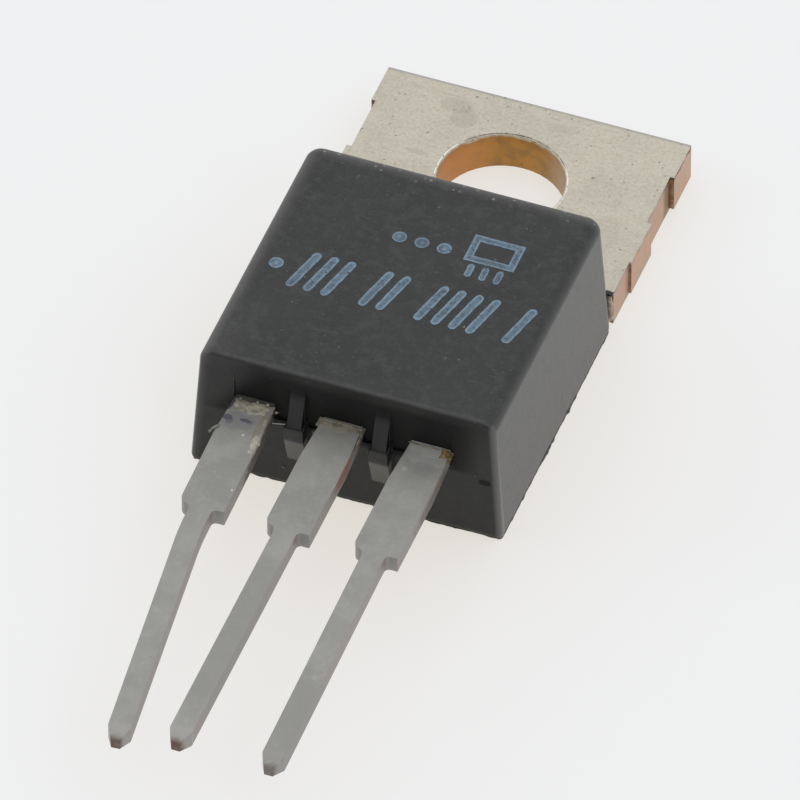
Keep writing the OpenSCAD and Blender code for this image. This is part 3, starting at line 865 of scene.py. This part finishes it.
def draw_centre_flux(bm):
    """The beige line along the centre lead's root, and its two soiled corners."""
    crust(bm, (-0.84, -12.22), (0.5, -11.88), lambda x, y: LEAD_TOP, 0.02, fill=0.1)
    root = [(-0.76, -11.96, 2.89), (-0.3, -11.97, 2.905), (0.2, -11.98, 2.905),
            (0.44, -11.99, 2.89)]
    strand(bm, root, 0.034)
    strand(bm, [(0.46, -12.0, 2.88), (0.46, -12.3, 2.85), (0.46, -12.8, 2.84)], 0.035)
    crumb(bm, (0.42, -12.02, 2.91), 0.045)
    crumb(bm, (-0.95, -12.06, 2.42), 0.08)
    crumb(bm, (0.66, -12.12, 2.32), 0.07)


def draw_emitter_flux(bm):
    """The amber bead at the emitter lead's right corner."""
    crust(bm, (2.68, -12.32), (3.05, -11.9), lambda x, y: LEAD_TOP, 0.035, 0.2, 0.02)
    crumb(bm, (2.94, -12.06, 2.91), 0.075)
    crumb(bm, (2.84, -12.14, 2.90), 0.05)


def draw_emitter_rim(bm):
    """The thin pale line where the emitter lead leaves the body."""
    strand(bm, [(1.74, -11.96, 2.9), (2.2, -11.97, 2.905), (2.66, -11.96, 2.9)], 0.028)


# ---------------------------------------------------------------- generic stamp

# The thickness of the ink film, the core's share of a line's width, and how uneven its edge is.
INK_FILM = 0.006
CORE_SHARE = 0.5
INK_SHAKE = 0.014
# Where the round ends of a line have their cross-sections, in degrees around the end.
CAP_TURNS = (30, 55, 75, 88)
# The middles of the dots, the outlined box and its legs, and the tally bars.
DOTS = ((-0.75, -5.95), (-0.1, -5.95), (0.55, -5.95), (-3.55, -8.05))
DOT_RADIUS = 0.105
BOX_MIDDLE = (1.9, -5.95)
BOX_HALF_WIDTH = 0.62
LEG_X = (-0.42, 0, 0.42)
TALLY_X = (-2.75, -2.25, -1.75, -0.65, -0.15, 0.95, 1.45, 1.95, 2.45, 3.5)
TALLY_LEAN = 0.16


def stroke(bm, path, width, closed=False):
    """A flat inked line with round ends: a band of ink, and a thinner core down its middle."""
    points = [Vector((x, y, 0)) for x, y in path]
    half = width / 2
    stations = []
    for i, point in enumerate(points):
        after = points[(i + 1) % len(points)] if closed or i + 1 < len(points) else point
        before = points[i - 1] if closed or i else point
        into = (point - before).normalized() if point != before else (after - point).normalized()
        out = (after - point).normalized() if point != after else into
        along = (into + out).normalized()
        widen = 1 / max(along.dot(out), 0.5)
        stations.append((point, along, half, half * CORE_SHARE, widen))
    if not closed:
        for end, sign in ((stations[0], -1), (stations[-1], 1)):
            caps = []
            for turn in CAP_TURNS:
                past = math.sin(math.radians(turn)) * half
                core = math.sqrt(max((half * CORE_SHARE) ** 2 - past ** 2, 0))
                wide = math.cos(math.radians(turn)) * half
                caps.append((end[0] + end[1] * past * sign, end[1], wide, core, 1))
            stations = caps[::-1] + stations if sign < 0 else stations + caps
    rows = []
    for point, along, wide, core, widen in stations:
        side = Vector((-along.y, along.x, 0)) * widen
        row = []
        for offset in (-wide, -core, core, wide):
            spot = point + side * offset
            shake = INK_SHAKE * ripple(spot.x, spot.y, offset, 7)
            row.append(bm.verts.new((spot.x + shake, spot.y - shake, BODY_TOP + INK_FILM)))
        rows.append(row)
    pairs = list(zip(rows, rows[1:])) + ([(rows[-1], rows[0])] if closed else [])
    for one, two in pairs:
        for k in range(3):
            face = bm.faces.new((one[k], one[k + 1], two[k + 1], two[k]))
            face.material_index = 1 if k == 1 else 0


def circle(centre, radius, steps=20):
    """Points of a circle."""
    angles = [math.radians(360 * i / steps) for i in range(steps)]
    return [(centre[0] + radius * math.cos(a), centre[1] + radius * math.sin(a)) for a in angles]


def line(start, end, steps=8):
    """Points of a straight line."""
    return [
        (start[0] + (end[0] - start[0]) * i / steps, start[1] + (end[1] - start[1]) * i / steps)
        for i in range(steps + 1)
    ]


def draw_stamp(bm):
    """A plain stamp with no characters: four dots, a box with three legs, and ten tally bars."""
    for dot in DOTS:
        stroke(bm, circle(dot, DOT_RADIUS), 0.2, closed=True)
    x, y = BOX_MIDDLE
    low = line((x - BOX_HALF_WIDTH, y - 0.1), (x + BOX_HALF_WIDTH, y - 0.1))
    high = line((x + BOX_HALF_WIDTH, y + 0.7), (x - BOX_HALF_WIDTH, y + 0.7))
    stroke(bm, low + high, 0.23, closed=True)
    for leg in LEG_X:
        stroke(bm, line((x + leg, y - 0.4), (x + leg, y - 0.72)), 0.2)
    for x in TALLY_X:
        stroke(bm, line((x - TALLY_LEAN, -8.67), (x + TALLY_LEAN, -7.43)), 0.26)


def make_floor():
    mesh = bpy.data.meshes.new("floor")
    half = FLOOR_HALF * MM
    corners = [(-half, -half, 0), (half, -half, 0), (half, half, 0), (-half, half, 0)]
    mesh.from_pydata(corners, [], [(0, 1, 2, 3)])
    floor = bpy.data.objects.new("floor", mesh)
    floor.data.materials.append(floor_material())
    bpy.context.scene.collection.objects.link(floor)


make_camera()
make_world()
for softbox in SOFTBOXES:
    make_softbox(*softbox)
bpy.context.scene.view_settings.view_transform = "Standard"
make_floor()

epoxy = epoxy_material()
finish_node("moulded_body", epoxy, BODY_EDGE)
finish_node("header_tab", tab_material(), TAB_EDGE, 3)
for name, stains_and_shade in (("base_lead", BASE_STAINS_AND_SHADE), ("emitter_lead", EMITTER_STAINS_AND_SHADE)):
    finish_node(name, lead_material("tinned_" + name, name, stains_and_shade), LEAD_EDGE)
finish_node(
    "transistor_die", speckled_material("silicon", (0.10, 0.11, 0.14), (0.07, 0.075, 0.1), 0.25)
)
finish_node(
    "die_solder",
    speckled_material("solder", (0.45, 0.45, 0.46), (0.30, 0.30, 0.31), 0.4, metallic=1.0),
)
wire = speckled_material(
    "aluminium_wire", (0.77, 0.77, 0.78), (0.6, 0.6, 0.61), 0.3, metallic=1.0
)
finish_node("base_wire", wire)
finish_node("emitter_wire", wire)

flux = speckled_material("flux_residue", (0.37, 0.35, 0.285), (0.18, 0.17, 0.135), 0.55, 7)
beige = speckled_material("beige_residue", (0.24, 0.215, 0.165), (0.11, 0.098, 0.08), 0.55, 7)
amber = speckled_material("amber_residue", (0.28, 0.19, 0.07), (0.10, 0.075, 0.04), 0.35, 9)
pale = speckled_material("pale_residue", (0.60, 0.57, 0.50), (0.36, 0.335, 0.28), 0.55, 7)
smear = speckled_material("smeared_copper", (0.54, 0.44, 0.36), (0.33, 0.26, 0.20), 0.45, 9)
crumbs = speckled_material("pale_crumbs", (0.26, 0.25, 0.22), (0.13, 0.125, 0.11), 0.6)
new_piece("base_flash", [epoxy], draw_base_flash)
new_piece("neck_flake", [epoxy], draw_neck_flake)
new_piece("neck_smear", [smear], draw_neck_smear)
new_piece("mould_crumbs", [crumbs], draw_mould_crumbs)
new_piece("hole_burr", [rim_material()], draw_hole_burr)
new_piece("base_flux", [flux], draw_base_flux)
new_piece("pale_burr", [pale], draw_pale_burr)
new_piece("centre_flux", [beige], draw_centre_flux)
new_piece("emitter_flux", [amber], draw_emitter_flux)
new_piece("emitter_rim", [beige], draw_emitter_rim)
band = ink_material("ink_band", (0.16, 0.255, 0.35), 0.5)
core = ink_material("ink_core", (0.10, 0.165, 0.225), 0.75)
new_piece("stamp", [band, core], draw_stamp)
